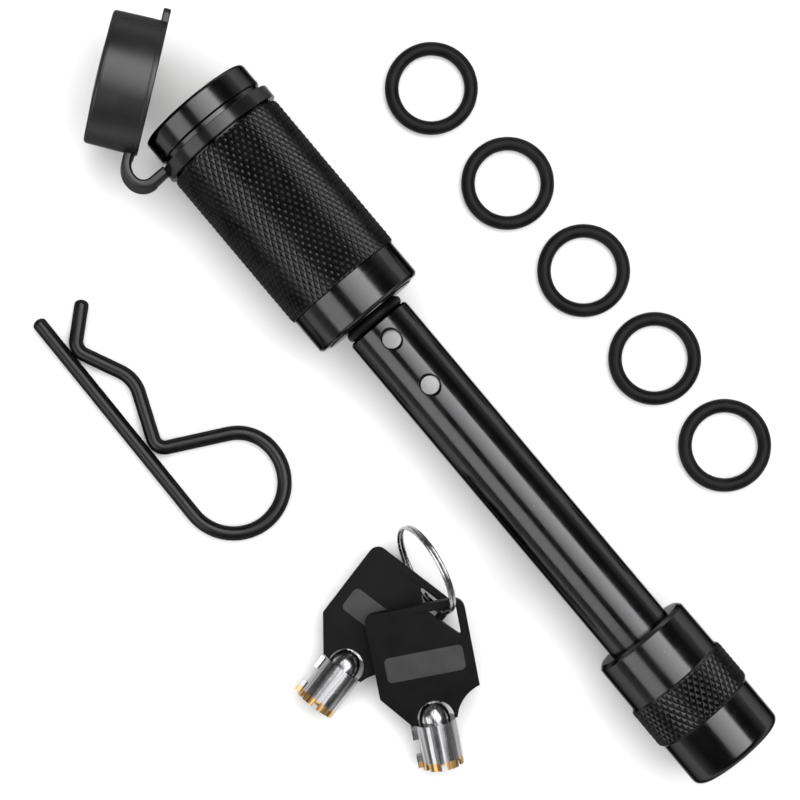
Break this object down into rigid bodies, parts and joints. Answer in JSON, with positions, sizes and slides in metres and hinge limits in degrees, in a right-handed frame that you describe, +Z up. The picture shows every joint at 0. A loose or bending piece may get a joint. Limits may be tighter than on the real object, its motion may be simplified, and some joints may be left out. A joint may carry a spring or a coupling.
{
  "type": "hitch pin lock",
  "caption": "Locking hitch pin with a plain knob, a knurled lock head and its tethered dust cap, with its R-clip, spare rings and tubular keys.",
  "frame": {"origin": "on the pin's axis, half way along the exposed shank between the knob and the lock head", "axes": "+X along the pin from the knob to the lock head, +Z up from the floor the pieces lie on"},
  "size_m": [0.2175, 0.1233, 0.033],
  "materials": {
    "black_coated_steel": "glossy black coating over machined steel",
    "black_wire": "satin black coating on spring wire",
    "seal_rubber": "matte black moulded rubber",
    "cap_rubber": "satin dark grey-black moulded rubber",
    "bare_steel": "machined steel",
    "lock_brass": "machined brass",
    "key_plastic": "finely textured black plastic with a plain grey panel",
    "key_chrome": "chrome plate, worn to brass colour at the cut tip",
    "ring_steel": "bright nickel plated spring steel"
  },
  "bodies": {
    "root": {"shaft": "black_coated_steel", "end_knob": "black_coated_steel", "neck_seal": "seal_rubber"},
    "lock_head": {"base_collar": "black_coated_steel", "housing": "black_coated_steel", "ball_carrier": "bare_steel", "lock_shell": "lock_brass", "pin_bushing": "lock_brass", "driver_pins": "lock_brass", "pin_springs": "bare_steel", "circlip": "bare_steel", "cap_ring": "cap_rubber", "tether": "cap_rubber"},
    "lock_core": {"cam_cup": "bare_steel", "lock_rotor": "lock_brass", "spindle": "bare_steel", "key_pins": "lock_brass"},
    "ball_1": {"locking_ball_1": "bare_steel"},
    "ball_2": {"locking_ball_2": "bare_steel"},
    "ball_3": {"locking_ball_3": "bare_steel"},
    "cap": {"dust_cap": "cap_rubber"},
    "clip": {"r_clip": "black_wire"},
    "spare_ring_1": {"o_ring_1": "seal_rubber"},
    "spare_ring_2": {"o_ring_2": "seal_rubber"},
    "spare_ring_3": {"o_ring_3": "seal_rubber"},
    "spare_ring_4": {"o_ring_4": "seal_rubber"},
    "spare_ring_5": {"o_ring_5": "seal_rubber"},
    "key_ring": {"split_ring": "ring_steel"},
    "key_a": {"key_a_head": "key_plastic", "key_a_tube": "key_chrome"},
    "key_b": {"key_b_head": "key_plastic", "key_b_tube": "key_chrome"}
  },
  "joints": [
    {"name": "head_slide", "type": "slide", "parent": "root", "child": "lock_head", "axis": [1, 0, 0], "range_m": [0, 0.08]},
    {"name": "key_turn", "type": "hinge", "parent": "lock_head", "child": "lock_core", "pos_m": [0.094, 0, 0], "axis": [1, 0, 0], "range_deg": [0, 90]},
    {"name": "ball_1_slide", "type": "slide", "parent": "lock_head", "child": "ball_1", "axis": [0, 0, 1], "range_m": [-0.0014, 0]},
    {"name": "ball_2_slide", "type": "slide", "parent": "lock_head", "child": "ball_2", "axis": [0, -0.866, -0.5], "range_m": [-0.0014, 0]},
    {"name": "ball_3_slide", "type": "slide", "parent": "lock_head", "child": "ball_3", "axis": [0, 0.866, -0.5], "range_m": [-0.0014, 0]},
    {"name": "cap_swing", "type": "hinge", "parent": "lock_head", "child": "cap", "pos_m": [0.10189, 0.02476, 0.00493], "axis": [0, -0.1954, 0.9807], "range_deg": [-37.2, 60], "deforming": ["tether"]},
    {"name": "clip_lift", "type": "slide", "parent": "root", "child": "clip", "axis": [0, 0, 1], "range_m": [0, 0.04]},
    {"name": "spare_ring_1_lift", "type": "slide", "parent": "root", "child": "spare_ring_1", "axis": [0, 0, 1], "range_m": [0, 0.04]},
    {"name": "spare_ring_2_lift", "type": "slide", "parent": "root", "child": "spare_ring_2", "axis": [0, 0, 1], "range_m": [0, 0.04]},
    {"name": "spare_ring_3_lift", "type": "slide", "parent": "root", "child": "spare_ring_3", "axis": [0, 0, 1], "range_m": [0, 0.04]},
    {"name": "spare_ring_4_lift", "type": "slide", "parent": "root", "child": "spare_ring_4", "axis": [0, 0, 1], "range_m": [0, 0.04]},
    {"name": "spare_ring_5_lift", "type": "slide", "parent": "root", "child": "spare_ring_5", "axis": [0, 0, 1], "range_m": [0, 0.04]},
    {"name": "keys_lift", "type": "slide", "parent": "root", "child": "key_ring", "axis": [0, 0, 1], "range_m": [0, 0.04]},
    {"name": "key_a_swing", "type": "hinge", "parent": "key_ring", "child": "key_a", "pos_m": [-0.01536, 0.03062, -0.00599], "axis": [-0.2991, -0.2614, 0.9177], "range_deg": [-30, 0]},
    {"name": "key_b_swing", "type": "hinge", "parent": "key_ring", "child": "key_b", "pos_m": [-0.01191, 0.03165, -0.01105], "axis": [0, 0, 1], "range_deg": [0, 10]}
  ],
  "couplings": [
    {"joint": "ball_1_slide", "follows": "key_turn", "m_per_rad": -0.00089038},
    {"joint": "ball_2_slide", "follows": "key_turn", "m_per_rad": -0.00089038},
    {"joint": "ball_3_slide", "follows": "key_turn", "m_per_rad": -0.00089038}
  ]
}
